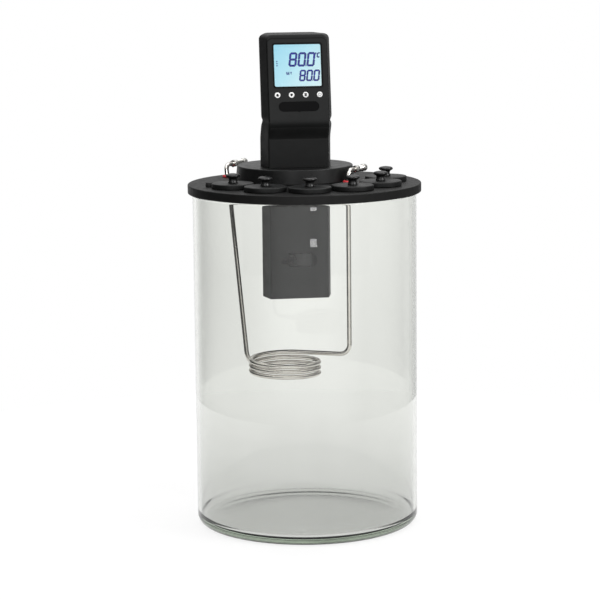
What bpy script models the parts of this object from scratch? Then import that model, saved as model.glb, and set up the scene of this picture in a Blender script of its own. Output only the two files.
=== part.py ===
"""Glass jar temperature bath with an immersion circulator.

A straight glass jar carries a round cover. Six capped ports, a thermometer stopper and a cooling coil sit in
the cover, and the circulator stands in a round collar that turns in the cover's large opening.
Lengths are in millimetres and become metres where a mesh or an object is made. +Z is up, the circulator's
display faces -Y, and the origin is the centre of the jar's underside.
"""

import math

import bmesh
import bpy
from mathutils import Matrix, Vector

MM = 0.001  # metres in a millimetre
GAP = 0.3  # between pieces that touch

# Jar
JAR_RADIUS = 152.4
JAR_HEIGHT = 457.2
JAR_WALL = 5.0
JAR_FLOOR = 11.0
JAR_HEEL = 12.4
JAR_INNER_HEEL = 8.0

# Cover
COVER_RADIUS = 158.75
COVER_THICKNESS = 12.0
COVER_STEP_RADIUS = 141.0
COVER_STEP_DEPTH = 3.0
COVER_TURN = math.radians(6.8)  # the cover's own front, seen from above, counter-clockwise from -Y
COVER_BOTTOM = JAR_HEIGHT + GAP
COVER_TOP = COVER_BOTTOM + COVER_THICKNESS

# Ports in the cover
PORT_RING = 112.0
PORT_FIRST = -73.5  # degrees from the cover's front
PORT_PITCH = 31.0
PORT_COUNT = 6
PORT_HOLE = 25.5
PORT_LID_RADIUS = 28.4
PORT_LID_HEIGHT = 6.6
PORT_SPIGOT = 24.9
KNOB_HEIGHT = 12.8
KNOB_CAP = 9.6
KNOB_STEM = 6.1
KNOB_STUD = 3.0
PLUG_RING = 133.2
PLUG_ANGLE = -87.8
PLUG_HOLE = 5.0

# Collar and the circulator that stands in it
COLLAR_OFFSET = 49.2
OPENING_RADIUS = 73.5
COLLAR_BASE = 81.6
COLLAR_TOP = 79.6
COLLAR_HEIGHT = 19.7
COLLAR_UNDER = COVER_TOP + GAP
COLLAR_UPPER = COLLAR_UNDER + COLLAR_HEIGHT
HEAD_BASE = COLLAR_UPPER + GAP
CIRCULATOR_SHIFT = -1.3  # the opening in the collar is a little off its centre
HALF_FRONT = 41.0
HALF_WIDTH = 48.6
HALF_REAR = 38.0
COLUMN_FRONT = -48.0
FLARE_DEPTH = 32.0
HEAD_FLARE_DEPTH = 24.0
REAR = 36.0
SHELL_WALL = 2.5
SPLIT = 4.0  # plane between the two head shells
UNDERCUT = 528.0
CHIN = 551.0
CHIN_FRONT = -59.0
HEAD_TOP = 669.2
LEAN = math.radians(9.6)
PLATE = 2.5  # faceplate thickness

# Pump end of the circulator
SHROUD_INSET = 1.0
SHROUD_BOTTOM = 310.0
SLOT_CENTRE = 363.0
SLOT_LENGTH = 48.6
SLOT_HEIGHT = 19.0
NOZZLE_PIVOT = (10.0, -20.0)
NOZZLE_REACH = 26.0
NOZZLE_ANGLE = math.radians(50)  # at rest, to the left of straight ahead
NOZZLE_RADIUS = 7.0
SHAFT_RADIUS = 4.0

# Cooling coil
TUBE_RADIUS = 3.175
COIL_CENTRE = (-33.0, -26.0)
COIL_RADIUS = 46.2
COIL_PITCH = 7.2
COIL_TURNS = 3
COIL_TOP = 233.4
RIGHT_LEG = (57.5, -17.9)
LEFT_LEG = (-95.8, 96.7)  # at the height of the outlets: this leg slants
LEFT_FOOT = (-77.4, 25.5)
OUTLET_HEIGHT = COVER_TOP + 16.7
GROMMET_NECK = 6.4
GROMMET_FLANGE = 7.2
GROMMET_HEIGHT = 465.5  # where the leg crosses the grommet's axis
LEFT_OUTLET = 50.0
RIGHT_OUTLET = 46.0
OUTLET_ANGLE = math.radians(38)  # from +Y towards +X


def clear_scene():
    for old in list(bpy.data.objects):
        bpy.data.objects.remove(old, do_unlink=True)


def material(name, colour, roughness, metallic=0.0, alpha=1.0):
    made = bpy.data.materials.new(name)
    made.use_nodes = True
    shader = made.node_tree.nodes["Principled BSDF"]
    shader.inputs["Base Color"].default_value = (*colour, 1.0)
    shader.inputs["Roughness"].default_value = roughness
    shader.inputs["Metallic"].default_value = metallic
    shader.inputs["Alpha"].default_value = alpha
    return made


def empty(name, x=0.0, y=0.0, z=0.0, parent=None, rotation=(0.0, 0.0, 0.0)):
    made = bpy.data.objects.new(name, None)
    bpy.context.scene.collection.objects.link(made)
    made.location = Vector((x, y, z)) * MM
    made.rotation_euler = rotation
    made.parent = parent
    return made


def finish_mesh(name, shape, colour, parent, place=(0.0, 0.0, 0.0)):
    """Turns a bmesh in millimetres into a placed object in metres."""
    bmesh.ops.recalc_face_normals(shape, faces=shape.faces)
    bmesh.ops.scale(shape, vec=Vector((MM, MM, MM)), verts=shape.verts)
    mesh = bpy.data.meshes.new(name)
    shape.to_mesh(mesh)
    shape.free()
    mesh.shade_smooth()
    mesh.set_sharp_from_angle(angle=math.radians(35))
    made = bpy.data.objects.new(name, mesh)
    bpy.context.scene.collection.objects.link(made)
    made.location = Vector(place) * MM
    made.parent = parent
    if colour:
        mesh.materials.append(colour)
    return made


def arc(centre, radius, start, end, steps):
    """Points on an arc in a plane, angles in degrees, both ends included."""
    angles = [math.radians(start + (end - start) * i / steps) for i in range(steps + 1)]
    return [(centre[0] + radius * math.cos(a), centre[1] + radius * math.sin(a)) for a in angles]


def lathe(name, profile, colour, parent=None, place=(0.0, 0.0, 0.0), sides=32):
    """Solid of revolution round Z. The profile is a loop of (radius, height); an open one ends on the axis."""
    shape = bmesh.new()
    columns = []
    closed = profile[0][0] > 0
    for radius, height in profile:
        if radius == 0:
            columns.append([shape.verts.new((0, 0, height))] * sides)
        else:
            ring = [math.tau * i / sides for i in range(sides)]
            columns.append([shape.verts.new((radius * math.cos(a), radius * math.sin(a), height)) for a in ring])
    pairs = list(zip(columns, columns[1:])) + ([(columns[-1], columns[0])] if closed else [])
    for lower, upper in pairs:
        for i in range(sides):
            j = (i + 1) % sides
            corners = [lower[i], lower[j], upper[j], upper[i]]
            unique = [v for n, v in enumerate(corners) if v not in corners[:n]]
            if len(unique) > 2:
                shape.faces.new(unique)
    return finish_mesh(name, shape, colour, parent, place)


def loft(name, sections, colour, parent=None, place=(0.0, 0.0, 0.0)):
    """Closed solid through outlines with the same number of points, each a list of (x, y, z)."""
    shape = bmesh.new()
    rings = [[shape.verts.new(point) for point in section] for section in sections]
    for lower, upper in zip(rings, rings[1:]):
        for i in range(len(lower)):
            j = (i + 1) % len(lower)
            shape.faces.new((lower[i], lower[j], upper[j], upper[i]))
    shape.faces.new(rings[0])
    shape.faces.new(rings[-1])
    return finish_mesh(name, shape, colour, parent, place)


def rounded(corners, radii, steps=3):
    """A flat outline with each corner replaced by an arc of its radius."""
    points = []
    for i, corner in enumerate(corners):
        radius = radii[i] if isinstance(radii, (list, tuple)) else radii
        here = Vector(corner)
        before = (Vector(corners[i - 1]) - here).normalized()
        after = (Vector(corners[(i + 1) % len(corners)]) - here).normalized()
        half = before.angle(after) / 2
        reach = radius / math.tan(half)
        centre = here + (before + after).normalized() * radius / math.sin(half)
        first = here + before * reach - centre
        turn = first.angle_signed(here + after * reach - centre)
        for n in range(steps + 1):
            points.append(centre + Matrix.Rotation(-turn * n / steps, 2) @ first)
    return points


def box_outline(half_x, half_y, radius, steps=3, centre=(0.0, 0.0)):
    x, y = centre
    corners = [(x - half_x, y - half_y), (x + half_x, y - half_y), (x + half_x, y + half_y), (x - half_x, y + half_y)]
    return rounded(corners, radius, steps)


def upright(name, outline, low, high, colour, parent=None):
    """Prism standing on an (x, y) outline."""
    return loft(name, [[(x, y, z) for x, y in outline] for z in (low, high)], colour, parent)


def facing(name, outline, front, back, colour, parent=None):
    """Prism whose outline is (x, z), seen from the front."""
    return loft(name, [[(x, y, z) for x, z in outline] for y in (front, back)], colour, parent)


def rod(name, start, end, radius, colour, parent=None, sides=16, bore=0.0):
    """Cylinder, or a tube with a bore, between two points."""
    start, end = Vector(start), Vector(end)
    length = (end - start).length
    profile = [(bore, 0), (radius, 0), (radius, length), (bore, length)]
    made = lathe(name, profile, colour, parent, sides=sides)
    turn = (end - start).to_track_quat("Z", "Y").to_matrix().to_4x4()
    made.data.transform(Matrix.Translation(start * MM) @ turn)
    return made


def hide(cutter):
    cutter.hide_render = True
    cutter.display_type = "WIRE"


def boolean(target, tool, operation):
    step = target.modifiers.new(tool.name, "BOOLEAN")
    step.object = tool
    step.operation = operation
    hide(tool)


def cut(target, *tools):
    for tool in tools:
        boolean(target, tool, "DIFFERENCE")


def join(target, *tools):
    for tool in tools:
        boolean(target, tool, "UNION")


def on_cover(x, y):
    """A point in the cover's own axes, as (x, y) in the object's axes."""
    turn = Matrix.Rotation(COVER_TURN, 2)
    return tuple(turn @ Vector((x, y)))


def on_cover_ring(radius, degrees):
    """A point on a ring round the jar's axis, by its angle from the cover's front."""
    angle = math.radians(degrees)
    return on_cover(radius * math.sin(angle), -radius * math.cos(angle))


def port_places():
    return [on_cover_ring(PORT_RING, PORT_FIRST + PORT_PITCH * i) for i in range(PORT_COUNT)]


def make_materials():
    return {
        "glass": material("clear_glass", (0.86, 0.9, 0.88), 0.02, alpha=0.35),
        "cover": material("cover_plastic", (0.025, 0.026, 0.027), 0.55),
        "collar": material("collar_plastic", (0.022, 0.023, 0.024), 0.5),
        "lid": material("lid_plastic", (0.02, 0.02, 0.021), 0.5),
        "knob": material("knob_plastic", (0.012, 0.012, 0.013), 0.35),
        "stopper": material("stopper_rubber", (0.015, 0.015, 0.016), 0.7),
        "steel": material("stainless_tube", (0.62, 0.6, 0.56), 0.22, 1.0),
        "fitting": material("plated_fitting", (0.7, 0.7, 0.68), 0.25, 1.0),
        "grommet": material("red_silicone", (0.55, 0.05, 0.06), 0.5),
        "case": material("head_plastic", (0.035, 0.036, 0.038), 0.5),
        "shroud": material("shroud_plastic", (0.05, 0.051, 0.054), 0.5),
        "window": material("display_window", (0.8, 0.9, 0.95), 0.03, alpha=0.35),
        "display": material("display_panel", (0.5, 0.78, 0.9), 0.3),
        "badge": material("badge", (0.03, 0.03, 0.032), 0.3),
        "button": material("button_caps", (0.75, 0.76, 0.76), 0.4),
        "board": material("circuit_board", (0.02, 0.16, 0.07), 0.45),
        "motor": material("motor_case", (0.25, 0.26, 0.27), 0.45, 0.4),
        "pump": material("pump_plastic", (0.04, 0.04, 0.042), 0.5),
        "float": material("float_foam", (0.7, 0.68, 0.62), 0.6),
        "inlet": material("inlet_plastic", (0.015, 0.015, 0.016), 0.4),
        "screw": material("screw_steel", (0.3, 0.3, 0.31), 0.3, 1.0),
        "chassis": material("chassis_plate", (0.55, 0.56, 0.57), 0.35, 1.0),
    }


def make_jar(colours):
    heel = arc((JAR_RADIUS - JAR_HEEL, JAR_HEEL), JAR_HEEL, -90, 0, 3)
    inner = JAR_RADIUS - JAR_WALL
    inner_heel = arc((inner - JAR_INNER_HEEL, JAR_FLOOR + JAR_INNER_HEEL), JAR_INNER_HEEL, 0, -90, 2)
    rim_round = 1.0
    rim = [
        (JAR_RADIUS, JAR_HEIGHT - rim_round),
        (JAR_RADIUS - rim_round, JAR_HEIGHT),
        (inner + rim_round, JAR_HEIGHT),
        (inner, JAR_HEIGHT - rim_round),
    ]
    profile = [(0, 0), *heel, *rim, *inner_heel, (0, JAR_FLOOR)]
    lathe("glass_jar", profile, colours["glass"], sides=56)


def make_cover(colours):
    edge = 1.3
    profile = [
        (0, COVER_BOTTOM - COVER_STEP_DEPTH),
        (COVER_STEP_RADIUS, COVER_BOTTOM - COVER_STEP_DEPTH),
        (COVER_STEP_RADIUS, COVER_BOTTOM),
        (COVER_RADIUS - edge, COVER_BOTTOM),
        (COVER_RADIUS, COVER_BOTTOM + edge),
        (COVER_RADIUS, COVER_TOP - edge),
        (COVER_RADIUS - edge, COVER_TOP),
        (0, COVER_TOP),
    ]
    plate = lathe("cover_plate", profile, colours["cover"], sides=56)
    low = COVER_BOTTOM - 2 * COVER_STEP_DEPTH
    high = COVER_TOP + COVER_STEP_DEPTH
    holes = [(place, PORT_HOLE, 24) for place in port_places()]
    holes.append((on_cover_ring(PLUG_RING, PLUG_ANGLE), PLUG_HOLE, 12))
    holes += [(place, GROMMET_NECK + GAP, 14) for place in (left_leg_at(GROMMET_HEIGHT), RIGHT_LEG)]
    holes.append((on_cover(0, COLLAR_OFFSET), OPENING_RADIUS, 48))
    for i, ((x, y), radius, sides) in enumerate(holes):
        cut(plate, lathe(f"hole_cutter_{i}", [(0, low), (radius, low), (radius, high), (0, high)],
                         None, place=(x, y, 0), sides=sides))


def make_port(colours, number, place):
    x, y = place
    under = COVER_TOP + GAP
    top = under + PORT_LID_HEIGHT
    bore = KNOB_STUD + GAP
    edge = 1.2
    lid = [
        (bore, under - 6.0),
        (PORT_SPIGOT, under - 6.0),
        (PORT_SPIGOT, under),
        (PORT_LID_RADIUS, under),
        (PORT_LID_RADIUS, top - edge),
        (PORT_LID_RADIUS - edge, top),
        (bore, top),
    ]
    lathe(f"port_cover_{number}", lid, colours["lid"], place=(x, y, 0), sides=24)
    foot = top + GAP
    knob = [
        (0, top - 9.0),
        (KNOB_STUD, top - 9.0),
        (KNOB_STUD, foot),
        (KNOB_STEM, foot),
        (KNOB_STEM, foot + 6.6),
        (KNOB_CAP - 0.4, foot + 8.6),
        (KNOB_CAP, foot + 9.9),
        (KNOB_CAP - 1.6, foot + 11.9),
        (0, foot + KNOB_HEIGHT),
    ]
    lathe(f"port_knob_{number}", knob, colours["knob"], place=(x, y, 0), sides=14)


def make_thermometer_plug(colours):
    x, y = on_cover_ring(PLUG_RING, PLUG_ANGLE)
    under = COVER_TOP + GAP
    profile = [(0, under - 12.0), (4.0, under - 12.0), (4.6, under), (5.4, under), (5.6, under + 5.0),
               (5.0, under + 5.6), (0, under + 5.6)]
    lathe("thermometer_plug", profile, colours["stopper"], place=(x, y, 0), sides=16)


def bend(points, radii, steps=5):
    """A route through corner points, each inner corner replaced by an arc of its radius."""
    route = [Vector(points[0])]
    for i in range(1, len(points) - 1):
        here = Vector(points[i])
        before = (Vector(points[i - 1]) - here).normalized()
        after = (Vector(points[i + 1]) - here).normalized()
        half = before.angle(after) / 2
        reach = radii[i - 1] / math.tan(half)
        centre = here + (before + after).normalized() * radii[i - 1] / math.sin(half)
        first = here + before * reach - centre
        last = here + after * reach - centre
        axis = first.cross(last)
        turn = first.angle(last)
        route += [centre + Matrix.Rotation(turn * n / steps, 3, axis) @ first for n in range(steps + 1)]
    route.append(Vector(points[-1]))
    return route


def tangent_angle(point, side):
    """Angle on the coil of the tangent that passes through a point, on the far (+1) side."""
    away = Vector(point) - Vector(COIL_CENTRE)
    return math.atan2(away.y, away.x) + side * math.acos(COIL_RADIUS / away.length)


def outlet_end(leg, length):
    x, y = leg
    return (x + length * math.sin(OUTLET_ANGLE), y + length * math.cos(OUTLET_ANGLE))


def coil_span():
    """Angles where the turns start and end, and how far they come down in between."""
    start = tangent_angle(RIGHT_LEG, 1)
    end = tangent_angle(LEFT_FOOT, -1) + COIL_TURNS * math.tau
    return start, end, COIL_PITCH * (end - start) / math.tau


def left_leg_at(height):
    """Where the slanting left leg is at a height."""
    foot = COIL_TOP - coil_span()[2]
    share = (height - foot) / (OUTLET_HEIGHT - foot)
    return tuple(Vector(LEFT_FOOT).lerp(Vector(LEFT_LEG), share))


def coil_route():
    """Right outlet, right leg, three turns downwards, left leg and left outlet, as one bent tube."""
    start, end, drop = coil_span()
    steps_per_turn = 18
    steps = round((end - start) / math.tau * steps_per_turn)
    turns = []
    for n in range(steps + 1):
        angle = start + (end - start) * n / steps
        x = COIL_CENTRE[0] + COIL_RADIUS * math.cos(angle)
        y = COIL_CENTRE[1] + COIL_RADIUS * math.sin(angle)
        turns.append(Vector((x, y, COIL_TOP - drop * n / steps)))
    right = bend(
        [(*outlet_end(RIGHT_LEG, RIGHT_OUTLET), OUTLET_HEIGHT), (*RIGHT_LEG, OUTLET_HEIGHT),
         (*RIGHT_LEG, COIL_TOP), turns[0]],
        (9.0, 13.6))
    left = bend(
        [turns[-1], (*LEFT_FOOT, COIL_TOP - drop), (*LEFT_LEG, OUTLET_HEIGHT),
         (*outlet_end(LEFT_LEG, LEFT_OUTLET), OUTLET_HEIGHT)],
        (25.0, 9.0))
    return right[:-1] + turns + left[1:]


def tube(name, route, radius, colour, parent=None, resolution=1):
    curve = bpy.data.curves.new(name, "CURVE")
    curve.dimensions = "3D"
    curve.bevel_depth = radius * MM
    curve.bevel_resolution = resolution
    curve.use_fill_caps = True
    spline = curve.splines.new("POLY")
    spline.points.add(len(route) - 1)
    for point, place in zip(spline.points, route):
        point.co = (*(Vector(place) * MM), 1)
    curve.materials.append(colour)
    made = bpy.data.objects.new(name, curve)
    bpy.context.scene.collection.objects.link(made)
    made.parent = parent
    return made


def make_cooling_coil(colours):
    tube("cooling_coil", coil_route(), TUBE_RADIUS, colours["steel"])
    bore = TUBE_RADIUS + GAP
    under = COVER_TOP + GAP
    profile = [(0, COVER_BOTTOM), (GROMMET_NECK, COVER_BOTTOM), (GROMMET_NECK, under), (GROMMET_FLANGE, under),
               (GROMMET_FLANGE, under + 2.0), (GROMMET_FLANGE - 0.8, under + 2.8), (0, under + 2.8)]
    along = Vector((math.sin(OUTLET_ANGLE), math.cos(OUTLET_ANGLE), 0))
    for side, leg_at, leg, length in (
        ("left", left_leg_at, LEFT_LEG, LEFT_OUTLET),
        ("right", lambda height: RIGHT_LEG, RIGHT_LEG, RIGHT_OUTLET),
    ):
        place = (*leg_at(GROMMET_HEIGHT), 0)
        grommet = lathe(f"tube_grommet_{side}", profile, colours["grommet"], place=place, sides=16)
        ends = [(*leg_at(height), height) for height in (COVER_BOTTOM - 8, COVER_TOP + 12)]
        cut(grommet, rod(f"grommet_bore_{side}", *ends, bore + 0.1, None, sides=12))
        foot = Vector((*leg, OUTLET_HEIGHT))
        rod(f"tube_nut_{side}", foot + along * 17.5, foot + along * 22.0, 5.2, colours["fitting"], sides=6,
            bore=bore / math.cos(math.pi / 6))
        rod(f"hose_connector_{side}", foot + along * 22.6, foot + along * (length + 1.0), 4.8,
            colours["fitting"], sides=14, bore=bore)


def make_collar(colours, centre, axis):
    spigot = OPENING_RADIUS - 0.5
    under = COVER_BOTTOM - COVER_STEP_DEPTH
    edge = 1.0
    profile = [
        (0, under),
        (spigot, under),
        (spigot, COLLAR_UNDER),
        (COLLAR_BASE, COLLAR_UNDER),
        (COLLAR_TOP + 0.1, COLLAR_UPPER - edge),
        (COLLAR_TOP - edge, COLLAR_UPPER),
        (0, COLLAR_UPPER),
    ]
    collar = lathe("mounting_collar", profile, colours["collar"], centre, sides=48)
    opening = circulator_outline(COLUMN_FRONT, SHROUD_INSET - 0.4)
    cut(collar, upright("collar_cutter", opening, under - 5, COLLAR_UPPER + 5, None, axis))


def circulator_outline(front, inset=0.0, flare=FLARE_DEPTH, tuck=0.0):
    """Plan of the circulator: a flat front, sides that flare out behind it and draw in again to the rear.

    The tuck draws the sides in by its whole length, the front by a third and the rear by a half."""
    half_front = HALF_FRONT - inset - tuck
    half = HALF_WIDTH - inset - tuck
    half_rear = HALF_REAR - inset - tuck
    near = front + inset + tuck / 3
    far = REAR - inset - tuck / 2
    corners = [
        (-half_front, near),
        (half_front, near),
        (half, front + flare),
        (half_rear, far),
        (-half_rear, far),
        (-half, front + flare),
    ]
    rear_round = 13.0 - inset - tuck
    return rounded(corners, [3.0, 3.0, 12.0, rear_round, rear_round, 12.0])


def head_front(height):
    """How far forward the head stands at a height above its chin."""
    return CHIN_FRONT + PLATE + GAP + (height - CHIN) * math.tan(LEAN)


def head_sections(inset, base, top):
    """Outlines of the column and the head from base to top, with a rounded crown."""
    crown = 7.0
    levels = [
        (base, COLUMN_FRONT, 0.0, FLARE_DEPTH),
        (UNDERCUT, COLUMN_FRONT, 0.0, FLARE_DEPTH),
        (CHIN - 2.0, head_front(CHIN) + 1.5, 0.0, HEAD_FLARE_DEPTH),
        (CHIN + 1.5, head_front(CHIN), 0.0, HEAD_FLARE_DEPTH),
    ]
    for turn in (0.0, 45.0, 90.0):
        lift = crown * math.sin(math.radians(turn))
        tuck = crown * (1 - math.cos(math.radians(turn)))
        levels.append((top - crown + lift, head_front(top - crown + lift), tuck, HEAD_FLARE_DEPTH))
    sections = []
    for height, front, tuck, flare in levels:
        sections.append([(x, y, height) for x, y in circulator_outline(front, inset, flare, tuck)])
    return sections


def make_head_shells(colours, axis, panel):
    for name, side in (("head_front_shell", -1), ("head_rear_shell", 1)):
        shell = loft(name, head_sections(0.0, HEAD_BASE, HEAD_TOP), colours["case"], axis)
        inside = head_sections(SHELL_WALL, HEAD_BASE - 5.0, HEAD_TOP - SHELL_WALL)
        near = SPLIT + side * GAP / 2
        half_space = box_outline(70, 60, 0.1, 1, (0, near - side * 60))
        cut(shell, loft(f"{name}_hollow", inside, None, axis),
            upright(f"{name}_half", half_space, HEAD_BASE - 10, HEAD_TOP + 10, None, axis))
        if side < 0:
            behind_plate = box_outline(36.0, 42.0, 2.0, 1, (0, 70.0))
            cut(shell, facing("front_opening", behind_plate, -6.0, 9.0, None, panel))
        else:
            slots = [facing(f"vent_cutter_{i}", box_outline(21.0, 1.6, 1.5, 2, (0, 602.0 + 8.0 * i)), REAR - 8,
                            REAR + 5, None, axis) for i in range(7)]
            inlet = facing("inlet_cutter", box_outline(13.8, 10.3, 1.0, 1, (0, 518.0)), REAR - 8, REAR + 5, None, axis)
            screws = [rod(f"screw_cutter_{i}", (x, REAR - 8, z), (x, REAR + 5, z), 2.1, None, axis, 12, 0.0)
                      for i, (x, z) in enumerate(screw_places())]
            cut(shell, *slots, inlet, *screws)


def screw_places():
    return [(side * 21.0, height) for height in (499.0, 590.0) for side in (-1, 1)]


def make_head_fittings(colours, axis):
    for i, (x, z) in enumerate(screw_places()):
        out = REAR + GAP
        profile = [(0, -12.0), (1.7, -12.0), (1.7, 0), (3.6, 0), (3.6, 1.2), (2.8, 2.0), (0, 2.0)]
        screw = lathe(f"head_screw_{i + 1}", profile, colours["screw"], axis, (x, out, z), sides=14)
        screw.rotation_euler = (-math.pi / 2, 0, 0)
    flange = facing("power_inlet", box_outline(16.0, 12.5, 1.5, 2, (0, 518.0)), REAR + GAP, REAR + 2.3,
                    colours["inlet"], axis)
    body = facing("inlet_body", box_outline(13.4, 9.9, 1.0, 1, (0, 518.0)), REAR - 20, REAR + 1.0, None, axis)
    recess = facing("inlet_recess", box_outline(11.6, 8.1, 2.5, 2, (0, 518.0)), REAR - 15, REAR + 5, None, axis)
    join(flange, body)
    cut(flange, recess)
    for i, (x, z) in enumerate(((-7.0, 516.0), (0.0, 520.5), (7.0, 516.0))):
        join(flange, facing(f"inlet_pin_{i}", box_outline(1.0, 2.0, 0.2, 1, (x, z)), REAR - 16, REAR - 2, None, axis))


def make_panel(colours, panel):
    """Everything on the leaning front: in its own axes, x across, z up the slope and y into the head."""
    width, height = 40.6, 114.5
    corners = [(-width, 0), (width, 0), (width, height), (-width, height)]
    plate = facing("faceplate", rounded(corners, [1.5, 1.5, 7.0, 7.0], 4), 0, PLATE, colours["case"], panel)
    display = (0, 78.4)
    cut(plate, facing("window_cutter", box_outline(32.6, 29.6, 3.0, 3, display), -3, 6, None, panel))
    badge = (0, 22.8)
    cut(plate, facing("badge_cutter", box_outline(27.7, 6.7, 6.65, 5, badge), -3, 1.2, None, panel))
    facing("badge_plate", box_outline(27.4, 6.4, 6.35, 5, badge), -0.1, 0.9, colours["badge"], panel)
    facing("display_window", box_outline(32.2, 29.2, 2.7, 3, display), 0.7, 1.9, colours["window"], panel)
    facing("lcd_panel", box_outline(35.0, 32.0, 1.0, 1, display), PLATE + GAP, 5.8, colours["display"], panel)
    facing("control_board", box_outline(34.0, 40.0, 1.0, 1, (0, 68.0)), 8.2, 9.8, colours["board"], panel)
    names = ("up", "down", "menu", "power")
    for i, name in enumerate(names):
        x = (i - 1.5) * 19.2
        cap = [(0, -0.5), (3.3, -0.5), (3.8, 0.0), (3.8, 3.0), (4.9, 3.0), (4.9, 4.2), (0, 4.2)]
        button = lathe(f"button_{name}", cap, colours["button"], panel, (x, 0, 38.5), sides=20)
        button.rotation_euler = (-math.pi / 2, 0, 0)
        hole = rod(f"button_hole_{name}", (x, -3, 38.5), (x, 6, 38.5), 4.1, None, panel, 20, 0.0)
        cut(plate, hole)


def make_drive(colours, axis):
    """Motor, its shaft with the fan and the impeller, and the tube that carries the pump."""
    rod("motor", (0, 0, 536), (0, 0, 592), 29.0, colours["motor"], axis, 20, SHAFT_RADIUS + GAP)
    rod("drive_shaft", (0, 0, 323), (0, 0, 609), SHAFT_RADIUS, colours["steel"], axis, 12)
    rod("shaft_tube", (0, 0, 342), (0, 0, 488), 9.0, colours["steel"], axis, 20, 7.0)
    for name, low, radius, colour in (("impeller", 324, 21.0, "pump"), ("cooling_fan", 598, 25.0, "pump")):
        hub = rod(name, (0, 0, low), (0, 0, low + 9), 7.5, colours[colour], axis, 16, SHAFT_RADIUS + GAP)
        for i in range(5):
            angle = math.tau * i / 5
            blade = upright(f"{name}_blade_{i}", box_outline((radius - 6) / 2, 0.9, 0.2, 1, ((radius + 6) / 2, 0)),
                            low + 1, low + 8, None, axis)
            blade.rotation_euler.z = angle
            join(hub, blade)
    plate = upright("chassis_plate", circulator_outline(COLUMN_FRONT, SHELL_WALL + 0.6), 490.8, 493.8,
                    colours["chassis"], axis)
    cut(plate, rod("chassis_hole", (0, 0, 480), (0, 0, 500), 9.5, None, axis, 16))


def make_pump(colours, axis):
    profile = [(10, 318), (27, 318), (28, 319), (28, 341), (4.6, 341), (4.6, 338), (25, 338), (25, 321), (10, 321)]
    housing = lathe("pump_housing", profile, colours["pump"], axis, sides=20)
    x, y = NOZZLE_PIVOT
    join(housing, rod("outlet_stub", (x, y, 339), (x, y, 353), 5.6, None, axis, 16))
    cut(housing, rod("outlet_bore", (x, y, 335), (x, y, 356), 4.0, None, axis, 16))


def make_nozzle(colours, axis):
    """Swivelling outlet: a hub over the pump's outlet stub, and a short tube that points out of the slot."""
    pivot = empty("nozzle_pivot", *NOZZLE_PIVOT, SLOT_CENTRE, axis)
    along = Vector((-math.sin(NOZZLE_ANGLE), -math.cos(NOZZLE_ANGLE), 0))
    nozzle = rod("outlet_nozzle", (0, 0, -19), (0, 0, 8.5), 8.4, colours["pump"], pivot, 20)
    join(nozzle, rod("nozzle_tube", (0, 0, 0), along * NOZZLE_REACH, NOZZLE_RADIUS, None, pivot, 20))
    cut(nozzle, rod("nozzle_bore", (0, 0, -22), (0, 0, 4), 6.0, None, pivot, 16),
        rod("nozzle_channel", (0, 0, 0), along * (NOZZLE_REACH + 5), NOZZLE_RADIUS - 1.6, None, pivot, 18))


def make_shroud(colours, axis):
    top = COLLAR_UPPER
    shroud = upright("pump_shroud", circulator_outline(COLUMN_FRONT, SHROUD_INSET), SHROUD_BOTTOM, top,
                     colours["shroud"], axis)
    wall = SHROUD_INSET + SHELL_WALL
    cut(shroud, upright("shroud_hollow", circulator_outline(COLUMN_FRONT, wall), SHROUD_BOTTOM - 5, top + 5, None, axis))
    slot = box_outline(SLOT_LENGTH / 2, SLOT_HEIGHT / 2, SLOT_HEIGHT / 2 - 0.1, 5, (0, SLOT_CENTRE))
    cut(shroud, facing("slot_cutter", slot, COLUMN_FRONT - 5, COLUMN_FRONT + 10, None, axis))
    base = upright("shroud_base", circulator_outline(COLUMN_FRONT, wall + GAP), SHROUD_BOTTOM + 0.5,
                   SHROUD_BOTTOM + 3.0, colours["shroud"], axis)
    intake = [(0.0, 0.0)] + [arc((0, 0), 17.0, 60 * i, 60 * i, 1)[0] for i in range(6)]
    for i, (x, y) in enumerate(intake):
        cut(base, rod(f"intake_{i}", (x, y, SHROUD_BOTTOM - 5), (x, y, SHROUD_BOTTOM + 8), 5.5, None, axis, 8))


def make_sensors(colours, axis):
    heater = bend([(-28, 24, 488), (-28, 24, 350), (28, 24, 350), (28, 24, 488)], (14.0, 14.0))
    tube("heater_element", heater, 3.6, colours["steel"], axis)
    lathe("temperature_probe", [(0, 326), (1.6, 327), (2.2, 330), (2.2, 488), (0, 488)], colours["steel"], axis,
          (35, -18, 0), sides=10)
    stem = [(0, 346), (4.2, 346), (4.2, 348), (1.8, 348), (1.8, 382), (4.2, 382), (4.2, 384), (1.8, 384),
            (1.8, 488), (0, 488)]
    lathe("float_stem", stem, colours["steel"], axis, (-32, -14, 0), sides=12)
    ring = [(2.3, 348.3), (8.5, 348.3), (9.2, 350), (9.2, 368), (8.5, 369.6), (2.3, 369.6)]
    lathe("level_float", ring, colours["float"], axis, (-32, -14, 0), sides=18)


def make_circulator(colours):
    x, y = on_cover(0, COLLAR_OFFSET)
    centre = empty("collar_centre", x, y)
    axis = empty("circulator_axis", x + CIRCULATOR_SHIFT, y)
    panel = empty("panel_frame", 0, CHIN_FRONT, CHIN, axis, (-LEAN, 0, 0))
    make_collar(colours, centre, axis)
    make_head_shells(colours, axis, panel)
    make_head_fittings(colours, axis)
    make_panel(colours, panel)
    make_drive(colours, axis)
    make_pump(colours, axis)
    make_nozzle(colours, axis)
    make_shroud(colours, axis)
    make_sensors(colours, axis)


def main():
    clear_scene()
    colours = make_materials()
    make_jar(colours)
    make_cover(colours)
    for number, place in enumerate(port_places(), 1):
        make_port(colours, number, place)
    make_thermometer_plug(colours)
    make_cooling_coil(colours)
    make_circulator(colours)


main()
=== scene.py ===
"""Looks of the glass jar temperature bath with its immersion circulator.

Lengths are in millimetres and become metres where a mesh is made. Each piece is built in place, in the frame
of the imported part, and then rides on its body.
"""

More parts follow.
